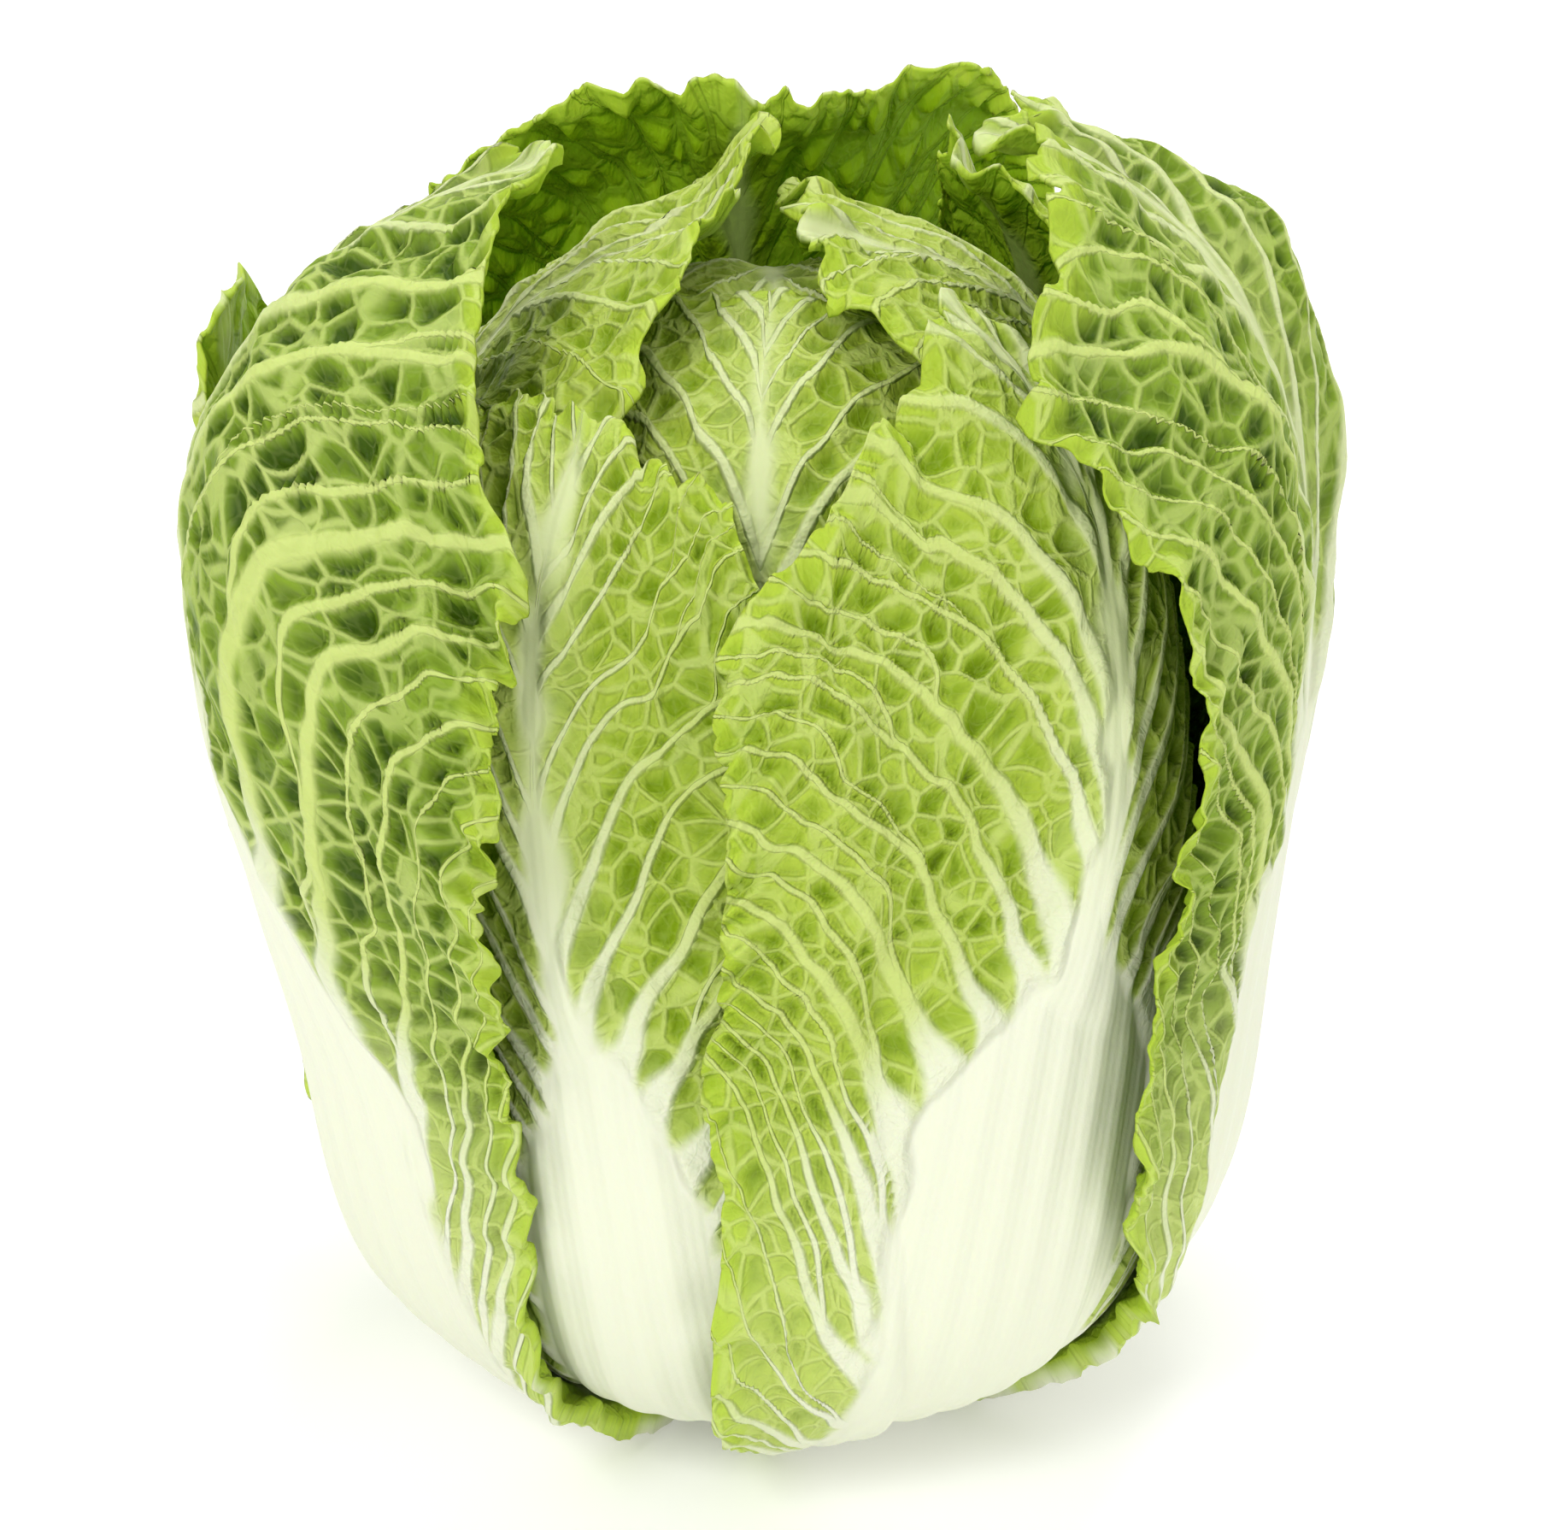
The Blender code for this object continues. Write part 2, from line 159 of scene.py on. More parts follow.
OUTER_LEAVES = [
    Leaf("outer_leaf_left", -57, -28, 0.90, 0.95, 76.5, (34, 34, 34, 28, 14, 7), (33, 28.5, 31.5, 38, 44, 45),
         stalk=0.008, rib=0.021, midrib=0.0038, rib_end=(0.42, 0.66), rib_slope=1.6, rib_spread=1.45,
         bold=1.5, puff=(0.033, 0.74), stand=0.011, hug=0.7, relief=1.25, look="outer", seed=21),
    Leaf("outer_leaf_right", 75, 25, 0.90, 0.95, 75.5, (32, 22, 37, 39.5, 44, 55), (32, 34, 36, 34, 26, 14),
         rounding=0.1, stalk=0.008, rib=0.021, midrib=0.0038, rib_end=(0.40, 0.66), rib_slope=1.5,
         rib_spread=1.35, bold=1.45, puff=(0.021, 0.74), stand=0.017, hug=0.7, relief=1.1, look="outer",
         seed=23),
]
SHOWN_LEAVES = INNER_LEAVES + FRONT_LEAVES + BACK_LEAVES + OUTER_LEAVES

HEART_COUNT = 15
GOLDEN_ANGLE = 137.5
HEART_REACH = (58, 66, 72, 74, 68, 44)


def heart_leaves():
    """The hidden leaves inside, each a golden angle on from the last."""
    for i in range(HEART_COUNT):
        age = i / (HEART_COUNT - 1)
        yield Leaf(
            f"heart_leaf_{i + 1:02d}", (i * GOLDEN_ANGLE) % 360, 6.0, 0.18 + 0.54 * age, 0.18 + 0.62 * age,
            84 + 12 * age, HEART_REACH, HEART_REACH, tilt=0.8, stalk=0.0012 + 0.0022 * age,
            rib=0.004 + 0.006 * age, relief=0.3, ruffle=0.3, look="young", seed=40 + i, rows=60, columns=44,
        )


# Sizes and colours ---------------------------------------------------------------------------------


def colour(name, description, default):
    return FloatVectorProperty(
        name=name, description=description, default=default, subtype="COLOR", min=0.0, max=1.0
    )


def length(name, description, default):
    return FloatProperty(
        name=name, description=description, default=default, min=0.0, unit="LENGTH", precision=5
    )


class CabbageShape(PropertyGroup):
    blade: length("Blade", "Thickness of a leaf blade", 0.0008)
    relief: length("Pocket depth", "Depth of the pockets between the veins", 0.0036)
    ruffle: length("Ruffle", "Height of the pleats along a free margin", 0.0050)
    bead: length("Bead", "Height of the small folds along a free margin", 0.0012)
    crumple: length("Crumple", "Height of the broad bumps over a free blade", 0.0016)
    rib_height: length("Rib height", "How far the side ribs stand proud of the blade", 0.0008)
    rib_width: length("Rib width", "Half width of a side rib halfway to the margin", 0.00085)
    rib_gap: length("Rib gap", "Usual space between side ribs", 0.0090)
    net_cell: length("Net cell", "Width of the pockets in the net of veins", 0.0058)
    flute: length("Flute", "Depth of the long flutes in a stalk", 0.00022)


class CabbageColours(PropertyGroup):
    stalk: colour("Stalk", "Stalks and midribs", (0.78, 0.80, 0.63))
    vein: colour("Vein", "Side ribs and the net of veins", (0.56, 0.66, 0.20))
    young: colour("Young blade", "Blades of the leaves that close the head", (0.40, 0.52, 0.055))
    # The three pocket colours are darker greens for the pockets between the veins: partly the blade's own
    # deeper green, partly painted shade in those hollows.
    young_pocket_shade: colour("Young pockets", "Pockets of those leaves", (0.20, 0.31, 0.008))
    full: colour("Full blade", "Blades of the front leaves", (0.41, 0.54, 0.055))
    full_pocket_shade: colour("Full pockets", "Pockets of the front leaves", (0.22, 0.34, 0.008))
    outer: colour("Outer blade", "Blades of the outermost leaves", (0.22, 0.34, 0.022))
    outer_pocket_shade: colour("Outer pockets", "Pockets of the outermost leaves", (0.045, 0.095, 0.0010))
    inside: colour("Inside", "Inner faces of the leaves", (0.24, 0.38, 0.004))
    margin: colour("Margin", "The frilled edge", (0.46, 0.62, 0.050))
    core: colour("Core", "Cut stem", (0.80, 0.78, 0.55))
    floor: colour("Floor", "The surface under the head", (0.93, 0.93, 0.93))


# Shape of the head ---------------------------------------------------------------------------------


def outline(elevation, level=1.0, crown=1.0):
    """Distance from the growing point to one layer of the head, at an elevation in radians."""
    side, up = np.cos(elevation), np.sin(elevation)
    power = np.where(up > 0, SQUARENESS, FOOT_SQUARENESS)
    across = np.abs(side) / (HEAD_RADIUS * level)
    along = np.abs(up) / np.where(up > 0, DOME_HEIGHT * crown, FOOT_DEPTH * level)
    return (across**power + along**power) ** (-1 / power)


def elevation_table(first, last):
    """Elevations from first to last, in radians, and the share of the outline's length at each."""
    angle = np.linspace(first, last, 400)
    reach = outline(np.minimum(angle, np.pi - angle))
    steps = np.hypot(np.diff(reach * np.cos(angle)), np.diff(reach * np.sin(angle)))
    run = np.concatenate([[0.0], np.cumsum(steps)])
    return angle, run / run[-1]


def spread(values, share):
    """Values given at even steps of share, joined by a smooth curve."""
    knots = np.linspace(0, 1, len(values))
    index = np.clip(np.searchsorted(knots, share, side="right") - 1, 0, len(values) - 2)
    v = np.concatenate([[2 * values[0] - values[1]], values, [2 * values[-1] - values[-2]]])
    t = (share - knots[index]) * (len(values) - 1)
    a, b, c, d = v[index], v[index + 1], v[index + 2], v[index + 3]
    return 0.5 * (2 * b + (c - a) * t + (2 * a - 5 * b + 4 * c - d) * t**2 + (3 * b - a - 3 * c + d) * t**3)


def smooth(edge0, edge1, x):
    t = np.clip((x - edge0) / (edge1 - edge0), 0, 1)
    return t * t * (3 - 2 * t)


def lattice_noise(x, y, seed):
    i, j = np.floor(x).astype(np.int64), np.floor(y).astype(np.int64)
    fx, fy = smooth(0, 1, x - i), smooth(0, 1, y - j)

    def corner(a, b):
        h = (a * 374761393 + b * 668265263 + seed * 2147483647) & 0xFFFFFFFF
        h = ((h ^ (h >> 13)) * 1274126177) & 0xFFFFFFFF
        return ((h ^ (h >> 16)) & 0xFFFF) / 32767.5 - 1

    low = corner(i, j) * (1 - fx) + corner(i + 1, j) * fx
    high = corner(i, j + 1) * (1 - fx) + corner(i + 1, j + 1) * fx
    return low * (1 - fy) + high * fy


def noise(x, y, seed):
    """Smooth noise from about -1 to 1 with features one unit across and no straight grain."""
    total = 0.0
    for turn in (0.6, 1.7):
        c, s = math.cos(turn), math.sin(turn)
        total = total + lattice_noise(c * x - s * y, s * x + c * y, seed + int(turn * 100))
    return 0.75 * total


def leaf_directions(leaf, u, v):
    """Unit directions for u, -1 to 1 across the leaf, and v, 0 to 1 from its base to its tip."""
    first, last = math.radians(CORE_HALF_ANGLE - 90), math.radians(leaf.tip)
    angles, shares = elevation_table(first, last)
    past_tip = 0.05
    along = np.clip(v - leaf.rounding * u**2 * smooth(0.35, 1.0, v), 0, 1 + past_tip)
    elevation = np.interp(along, shares, angles) + math.radians(60) * np.maximum(along - 1, 0)
    azimuth = np.radians(leaf.azimuth + leaf.lean * smooth(0.25, 1.0, along))
    share = np.clip(v, 0, 1)
    reach = np.where(u < 0, spread(leaf.left, share), spread(leaf.right, share))
    turn = np.radians(u * reach)
    axis_tilt = leaf.tilt * np.maximum(elevation, 0)
    out = np.stack([np.sin(azimuth), -np.cos(azimuth), 0 * azimuth], -1)
    sideways = np.stack([np.cos(azimuth), np.sin(azimuth), 0 * azimuth], -1)
    up = np.array([0.0, 0.0, 1.0])
    axis = -np.sin(axis_tilt)[..., None] * out + np.cos(axis_tilt)[..., None] * up
    midrib = np.cos(elevation)[..., None] * out + np.sin(elevation)[..., None] * up
    along_axis = (midrib * axis).sum(-1, keepdims=True) * axis
    return (
        along_axis
        + (midrib - along_axis) * np.cos(turn)[..., None]
        + sideways * (np.linalg.norm(midrib - along_axis, axis=-1) * np.sin(turn))[..., None]
    )


def to_points(directions, distance):
    return directions * distance[..., None] + np.array([0, 0, GROWING_POINT])


def spline_weights(t):
    """Weights of the four cells around a place that lies t of the way between the middle two."""
    return (1 - t) ** 3 / 6, (3 * t**3 - 6 * t**2 + 4) / 6, (-3 * t**3 + 3 * t**2 + 3 * t + 1) / 6, t**3 / 6


class HeadMap:
    """How far out the leaves laid so far reach in each direction, on a disc centred on straight up."""

    def __init__(self):
        self.half = int(MAP_REACH / MAP_STEP) + 3
        grid = (np.arange(2 * self.half + 1) - self.half) * MAP_STEP
        self.from_top = np.hypot(*np.meshgrid(grid, grid, indexing="ij"))
        self.top = None
        self.start()

    def start(self):
        """Clears the map down to the small bud that the first leaf closes over."""
        self.top = outline(np.radians(90 - np.minimum(self.from_top, 180)), 0.14, 0.14)

    def cells(self, directions):
        """Where each direction falls on the map, in cells."""
        from_top = np.degrees(np.arccos(np.clip(directions[..., 2], -1, 1))) / MAP_STEP
        flat = np.maximum(np.hypot(directions[..., 0], directions[..., 1]), 1e-9)
        return (
            self.half + from_top * directions[..., 0] / flat,
            self.half + from_top * directions[..., 1] / flat,
        )

    def soften(self, field, widen, passes):
        """The field grown sideways by some cells and then blurred."""
        m = field.copy()
        for _ in range(widen):
            p = np.pad(m, 1, mode="edge")
            m = np.max([p[i : i + m.shape[0], j : j + m.shape[1]] for i in range(3) for j in range(3)], 0)
        for _ in range(passes):
            p = np.pad(m, 1, mode="edge")
            m = (p[:-2] + 2 * p[1:-1] + p[2:]) / 4
            m = (m[:, :-2] + 2 * m[:, 1:-1] + m[:, 2:]) / 4
        return m

    def read(self, field, directions):
        """The field's smoothed value in each direction."""
        x, y = self.cells(directions)
        i, j = np.floor(x).astype(int), np.floor(y).astype(int)
        total = 0.0
        last = 2 * self.half
        for a, weight_a in zip(range(-1, 3), spline_weights(x - i)):
            for b, weight_b in zip(range(-1, 3), spline_weights(y - j)):
                total = total + weight_a * weight_b * field[np.clip(i + a, 0, last), np.clip(j + b, 0, last)]
        return total

    def lay(self, directions, distance):
        """Raises the map to a new leaf's outer face."""
        x, y = self.cells(directions)
        i, j = np.rint(x).astype(int), np.rint(y).astype(int)
        np.maximum.at(self.top, (i.ravel(), j.ravel()), distance.ravel())

    def exposure(self, leaf):
        """1 where no later leaf covers a direction, falling to 0 under later leaves."""
        cover = np.zeros_like(self.top)
        later = SHOWN_LEAVES[SHOWN_LEAVES.index(leaf) + 1 :] if leaf in SHOWN_LEAVES else SHOWN_LEAVES
        u, v = np.meshgrid(np.linspace(-1, 1, 180), np.linspace(0, 1, 220))
        for other in later:
            x, y = self.cells(leaf_directions(other, u, v))
            cover[np.rint(x).astype(int), np.rint(y).astype(int)] = 1.0
        return 1 - np.clip(1.6 * self.soften(cover, 1, 2), 0, 1)


head = HeadMap()


# Leaves --------------------------------------------------------------------------------------------


def arc_lengths(points, middle):
    """Distance along each row from the middle column, and along the middle column from the base."""
    across = np.linalg.norm(np.diff(points, axis=1), axis=-1)
    run = np.concatenate([np.zeros((len(points), 1)), np.cumsum(across, axis=1)], axis=1)
    along = np.linalg.norm(np.diff(points[:, middle], axis=0), axis=-1)
    rise = np.concatenate([[0.0], np.cumsum(along)])
    return run - run[:, middle : middle + 1], rise[:, None] + 0 * run


def side_ribs(x, y, steep, gap, seed):
    """A rising count that passes a whole number at each side rib, the space from rib to rib, and how
    bold the nearest rib is."""
    rng = np.random.default_rng(seed)
    first, last = -0.35, 0.42
    far = np.abs(x)
    slope = steep * (1 + 0.35 * smooth(0.04, 0.14, y))
    wander = 0.0036 * noise(x / 0.026, y / 0.026, seed) + 0.0009 * noise(x / 0.008, y / 0.008, seed + 1)
    origin = y - slope * (far + 0.010 * (1 - np.exp(-far / 0.010))) + 3.0 * far**2 + wander
    count = np.zeros_like(x)
    bold = np.ones_like(x)
    for mine in (x < 0, x >= 0):
        start = [first]
        while start[-1] < last:
            step = gap * math.hypot(1, steep) * (0.7 + 0.4 * float(smooth(0.0, 0.12, start[-1])))
            start.append(start[-1] + step * rng.uniform(0.7, 1.35))
        low_ribs = np.exp(-(((np.array(start) - 0.07) / 0.04) ** 2))
        weight = rng.uniform(0.3, 1.3, len(start)) * (1 + 0.7 * low_ribs)
        here = np.interp(origin, start, np.arange(len(start)))
        count = np.where(mine, here, count)
        bold = np.where(mine, weight[np.rint(here).astype(int)], bold)
    rise = np.gradient(count, axis=0) / np.maximum(np.gradient(y, axis=0), 1e-6)
    run = np.gradient(count, axis=1) / np.maximum(np.gradient(x, axis=1), 1e-6)
    middle = x.shape[1] // 2
    run[:, middle - 1 : middle + 2] = run[:, middle + 2 : middle + 3]
    return count, 1 / np.maximum(np.hypot(run, rise), 20.0), bold


def leaf_grid(leaf, shape):
    """Directions of a leaf's points, the distances of its two faces, and the values that its relief and
    finish are worked out from."""
    s = np.linspace(0, 1, leaf.rows)
    t = np.linspace(-1, 1, leaf.columns + 1)
    u, v = np.meshgrid(t * (1.2 - 0.2 * t**2), s * (1.25 - 0.25 * s))
    middle = leaf.columns // 2

    # The wavy outline, and what lies under it
    side = np.sign(u)
    lobes = 0.045 * np.abs(noise(v * 15, side * 7, leaf.seed))
    lobes = lobes + 0.012 * np.abs(noise(v * 60, side * 3, leaf.seed + 2))
    crown = 0.024 * np.abs(noise(u * 5, 0 * u, leaf.seed + 4))
    crown = crown + 0.007 * np.abs(noise(u * 20, 0 * u, leaf.seed + 5))
    edge_u = u * (1 + (lobes - 0.025) * np.abs(u) * smooth(0.15, 0.35, v) * leaf.ruffle)
    edge_v = v * (1 + (crown - 0.012) * smooth(0.6, 1.0, v) * leaf.ruffle)
    directions = leaf_directions(leaf, edge_u, edge_v)
    elevation = np.arcsin(np.clip(directions[..., 2], -1, 1))
    ground = head.read(head.soften(head.top, 1, 3), directions)
    free = head.read(head.soften(head.exposure(leaf), 0, 1), directions)

    # The stalk and midrib, and how far each point is from them and from the margin
    plain = np.maximum(ground + LEAF_GAP, outline(elevation, leaf.level, leaf.crown))
    x, y = arc_lengths(to_points(directions, plain), middle)
    span = np.abs(np.where(u < 0, x[:, :1], x[:, -1:]))
    to_side = span * (1 - np.abs(u))
    to_tip = y[-1:] - y
    margin = np.minimum(to_side, to_tip)
    rib = leaf.rib * (1 - smooth(*leaf.rib_end, v)) + leaf.midrib * (1 - 0.75 * smooth(0.5, 1.0, v))
    rib = rib * smooth(-0.25, 0.12, v)
    stalk_edge = np.abs(x) - rib + 0.0022 * noise(x / 0.004, y / 0.009, leaf.seed + 14) * smooth(0.1, 0.3, v)
    blade = smooth(0.0, 0.010, stalk_edge)

    # Depth of the pockets, the leaf's own bulge and its thickness
    depth = shape.relief * leaf.relief * blade * (0.45 + 0.55 * smooth(0.25, 0.7, v))
    depth = depth * (0.35 + 0.65 * smooth(0.0, 0.004, margin))
    bulge, where = leaf.puff
    lift = bulge * np.exp(-(((v - where) / 0.2) ** 2)) * (1 - 0.75 * smooth(0.35, 1.0, np.abs(u)))
    lift = lift + leaf.stand * (1 - leaf.hug * smooth(0.4, 1.0, np.abs(u))) * smooth(0.62, 1.0, v)
    stem = leaf.stalk * (0.62 + 0.38 * smooth(0.0, 0.3, v)) * (1 - 0.86 * smooth(0.3, 0.95, v))
    thick = shape.blade + stem * np.exp(-((np.abs(x) / (1.25 * rib + 0.004)) ** 2.6))

    # The frilled margin and the crumpled blade, where no later leaf presses on them
    pleats_side = noise(y / 0.0072, np.abs(x) / 0.020, leaf.seed + 6)
    pleats_tip = noise(x / 0.0072, y / 0.020, leaf.seed + 7)
    at_tip = smooth(-0.006, 0.006, to_side - to_tip)
    pleats = pleats_side * (1 - at_tip) + pleats_tip * at_tip
    frill = np.exp(-margin / 0.0075) * free * leaf.ruffle * smooth(0.12, 0.35, v)
    beads = shape.bead * noise(x / 0.0026, y / 0.0026, leaf.seed + 12) * np.exp(-margin / 0.004) * free
    crumple = noise(x / 0.013, y / 0.013, leaf.seed + 8) + 0.5 * noise(x / 0.006, y / 0.006, leaf.seed + 13)
    crumple = shape.crumple * free * blade * leaf.relief * crumple
    lip = 0.0022 * np.exp(-((margin / 0.0032) ** 2)) * free * smooth(0.1, 0.3, v)
    raised = frill * shape.ruffle * (0.35 + pleats) + beads + crumple + lip
    inner = np.maximum(plain + lift + 0.8 * depth + raised, ground + LEAF_GAP)
    outer = inner + thick
    floor = (GROWING_POINT - FLOOR_CLEARANCE) / np.maximum(-directions[..., 2], 1e-6)
    outer = np.where(directions[..., 2] < 0, np.minimum(outer, floor), outer)
    inner = np.minimum(inner, outer - shape.blade)
    depth = np.clip(np.minimum(depth, inner - ground - 0.0002), 0, None)

    # Side ribs, which widen into the stalk and fork near the margin
    count, space, bold = side_ribs(x, y, leaf.rib_slope, shape.rib_gap * leaf.rib_spread, leaf.seed)
    bold = bold * leaf.bold
    web = 0.0019 * np.exp(-np.maximum(stalk_edge, 0) / 0.009) * (1 - smooth(0.45, 0.9, v))
    width = bold * (shape.rib_width * (1.5 - 1.1 * np.abs(u)) + web)
    fork = 0.5 * smooth(0.42, 0.78, np.abs(u) + 0.16 * noise(x / 0.018, y / 0.018, leaf.seed + 15))
    warp = np.stack([noise(x / 0.010, y / 0.010, leaf.seed + k) for k in (10, 11, 16)], -1)
    place = to_points(directions, plain) / shape.net_cell + 0.30 * warp + leaf.seed
    values = {
        "rank": count, "space": space, "width": width, "fork": fork, "stalk_edge": stalk_edge,
        "margin": margin, "depth": depth, "across": x, "age": v,
    }
    vectors = {"place": place, "outward": directions}
    return directions, inner, outer, values, vectors


def shell_mesh(name, inner, outer, values, vectors):
    """A closed mesh between two grids of points, with the values and vectors kept as attributes."""
    rows, columns = inner.shape[:2]
    count = rows * columns
    index = np.arange(count).reshape(rows, columns)
    a, b, c, d = index[:-1, :-1], index[:-1, 1:], index[1:, 1:], index[1:, :-1]
    outside = np.stack([a, b, c, d], -1).reshape(-1, 4) + count
    inside = np.stack([d, c, b, a], -1).reshape(-1, 4)
    loop = np.concatenate([index[0, :-1], index[:-1, -1], index[-1, :0:-1], index[:0:-1, 0]])
    ahead = np.roll(loop, -1)
    border = np.stack([ahead + count, loop + count, loop, ahead], -1)
    mesh = bpy.data.meshes.new(name)
    points = np.concatenate([inner.reshape(-1, 3), outer.reshape(-1, 3)])
    mesh.from_pydata(points.tolist(), [], np.concatenate([outside, inside, border]).tolist())
    for key, grid in values.items():
        attribute = mesh.attributes.new(key, "FLOAT", "POINT")
        attribute.data.foreach_set("value", np.tile(grid.ravel(), 2).astype(np.float32))
    face = mesh.attributes.new("outside", "FLOAT", "POINT")
    face.data.foreach_set("value", np.repeat([0.0, 1.0], count).astype(np.float32))
    for key, grid in vectors.items():
        attribute = mesh.attributes.new(key, "FLOAT_VECTOR", "POINT")
        attribute.data.foreach_set("vector", np.tile(grid.reshape(-1, 3), (2, 1)).ravel().astype(np.float32))
    mesh.shade_smooth()
    obj = bpy.data.objects.new(name, mesh)
    bpy.context.scene.collection.objects.link(obj)
    return obj


# Nodes ---------------------------------------------------------------------------------------------


class Wiring:
    """Adds nodes to a tree and joins them."""

    def __init__(self, tree):
        self.tree = tree

    def node(self, kind, inputs=(), **settings):
        made = self.tree.nodes.new(kind)
        for key, value in settings.items():
            setattr(made, key, value)
        for key, value in dict(inputs).items():
            self.join(value, made.inputs[key])
        return made

    def join(self, value, socket):
        if isinstance(value, bpy.types.NodeSocket):
            self.tree.links.new(value, socket)
        else:
            socket.default_value = value

    def math(self, operation, *values):
        made = self.tree.nodes.new("ShaderNodeMath")
        made.operation = operation
        for value, socket in zip(values, made.inputs):
            self.join(value, socket)
        return made.outputs[0]

    def plus(self, a, b):
        return self.math("ADD", a, b)

    def minus(self, a, b):
        return self.math("SUBTRACT", a, b)

    def times(self, a, b):
        return self.math("MULTIPLY", a, b)

    def most(self, a, b):
        return self.math("MAXIMUM", a, b)

    def speckle(self, place, scale, detail):
        """Smooth random values, about 0.5 on average."""
        made = self.node("ShaderNodeTexNoise", {"Vector": place, "Scale": scale, "Detail": detail})
        return made.outputs["Fac"]

    def borders(self, place, scale):
        """Distance from the nearest border between random cells."""
        inputs = {"Vector": place, "Scale": scale}
        return self.node("ShaderNodeTexVoronoi", inputs, feature="DISTANCE_TO_EDGE").outputs["Distance"]

    def chances(self, place, scale):
        """A random value from 0 to 1 for each of those cells."""
        made = self.node("ShaderNodeTexVoronoi", {"Vector": place, "Scale": scale}, feature="F1")
        return self.node("ShaderNodeSeparateXYZ", {"Vector": made.outputs["Color"]}).outputs[0]

    def fade(self, value, full, none):
        """1 where the value is at full, falling smoothly to 0 where it is at none."""
        made = self.node(
            "ShaderNodeMapRange",
            {"Value": value, "From Min": full, "From Max": none, "To Min": 1.0, "To Max": 0.0},
            interpolation_type="SMOOTHSTEP",
        )
        return made.outputs["Result"]

    def mix(self, factor, a, b):
        made = self.tree.nodes.new("ShaderNodeMix")
        made.data_type = "RGBA"
        self.join(factor, made.inputs[0])
        self.join(a, made.inputs[6])
        self.join(b, made.inputs[7])
        return made.outputs[2]


def vein_masks(w, value, cell, soften):
    """Stalk, side ribs and net of a leaf, 1 on each and 0 off it, from its attributes, and a number
    drawn for each pocket of the net.  soften is how far the edges of ribs and net are drawn out."""

    def ridge(rank, centre, width):
        beside = w.math("ABSOLUTE", w.minus(w.math("FRACT", rank), centre))
        away = w.times(beside, value["space"])
        return w.fade(away, w.times(width, 0.4), w.plus(width, soften * 0.8))

    ribs = ridge(w.plus(value["rank"], 0.5), 0.5, value["width"])
    forks = ridge(value["rank"], value["fork"], w.times(value["width"], 0.6))
    split = w.math("LESS_THAN", 0.02, value["fork"])
    ribs = w.most(ribs, w.times(forks, split))
    from_net = w.times(w.borders(value["place"], 1.0), cell)
    net = w.fade(from_net, 0.00015, 0.00075 + soften)
    chance = w.chances(value["place"], 1.0)
    stalk = w.fade(value["stalk_edge"], -0.0015, 0.0025)
    return stalk, ribs, net, chance


def relief_tree():
    """Geometry nodes that sink the blade between its veins and flute its stalk."""
    tree = bpy.data.node_groups.new("Leaf relief", "GeometryNodeTree")
    for name, kind, way in (
        ("Geometry", "NodeSocketGeometry", "INPUT"),
        ("Rib height", "NodeSocketFloat", "INPUT"),
        ("Net cell", "NodeSocketFloat", "INPUT"),
        ("Flute", "NodeSocketFloat", "INPUT"),
        ("Material", "NodeSocketMaterial", "INPUT"),
        ("Geometry", "NodeSocketGeometry", "OUTPUT"),
    ):
        tree.interface.new_socket(name, in_out=way, socket_type=kind)
    w = Wiring(tree)
    given = w.node("NodeGroupInput").outputs

    def attribute(name, kind="FLOAT"):
        return w.node("GeometryNodeInputNamedAttribute", {"Name": name}, data_type=kind).outputs["Attribute"]

    names = ("rank", "space", "width", "fork", "stalk_edge", "depth", "across")
    value = {name: attribute(name) for name in names}
    value["place"] = attribute("place", "FLOAT_VECTOR")
    stalk, ribs, net, chance = vein_masks(w, value, given["Net cell"], 0.0018)
    crest = w.most(w.most(ribs, w.times(net, 0.85)), stalk)
    share = w.plus(w.times(chance, 0.7), 0.3)
    hollow = w.times(w.minus(1.0, crest), share)
    sink = w.times(value["depth"], hollow)
    off_stalk = w.minus(1.0, stalk)
    proud = w.times(w.times(ribs, off_stalk), given["Rib height"])
    flutes = w.math("SINE", w.times(value["across"], 2 * math.pi / STALK_FLUTE_PITCH))
    wavy = w.times(w.times(flutes, given["Flute"]), stalk)
    height = w.minus(w.plus(proud, wavy), sink)
    offset = w.node("ShaderNodeVectorMath", operation="SCALE")
    w.join(attribute("outward", "FLOAT_VECTOR"), offset.inputs[0])
    w.join(height, offset.inputs["Scale"])
    moved = w.node("GeometryNodeSetPosition", {"Geometry": given["Geometry"], "Offset": offset.outputs[0]})
    # The hollow share is kept for the leaf material, which paints shade into the pockets from it.
    kept = w.node("GeometryNodeStoreNamedAttribute", {"Geometry": given["Geometry"], "Name": "hollow"})
    w.join(hollow, kept.inputs["Value"])
    w.join(kept.outputs[0], moved.inputs["Geometry"])
    real = w.node("GeometryNodeRealizeInstances", {"Geometry": moved.outputs[0]})
    finish = w.node("GeometryNodeSetMaterial", {"Geometry": real.outputs[0], "Material": given["Material"]})
    w.node("NodeGroupOutput", {0: finish.outputs[0]})
    return tree


def bake_modifier(obj, tree, inputs):
    """Runs a geometry nodes tree on an object and keeps the result as its plain mesh."""
    modifier = obj.modifiers.new(tree.name, "NODES")
    modifier.node_group = tree
    for item in tree.interface.items_tree:
        if item.in_out == "INPUT" and item.name in inputs:
            modifier[item.identifier] = inputs[item.name]
    obj.update_tag()
    depsgraph = bpy.context.evaluated_depsgraph_get()
    result = bpy.data.meshes.new_from_object(obj.evaluated_get(depsgraph), depsgraph=depsgraph)
    old = obj.data
    obj.modifiers.clear()
    obj.data = result
    bpy.data.meshes.remove(old)


def opaque(rgb):
    return tuple(rgb) + (1,)


def new_material(name):
    """A material with its wiring and its shader node."""
    made = bpy.data.materials.new(name)
    made.use_nodes = True
    w = Wiring(made.node_tree)
    shader = made.node_tree.nodes["Principled BSDF"]
    return made, w, shader


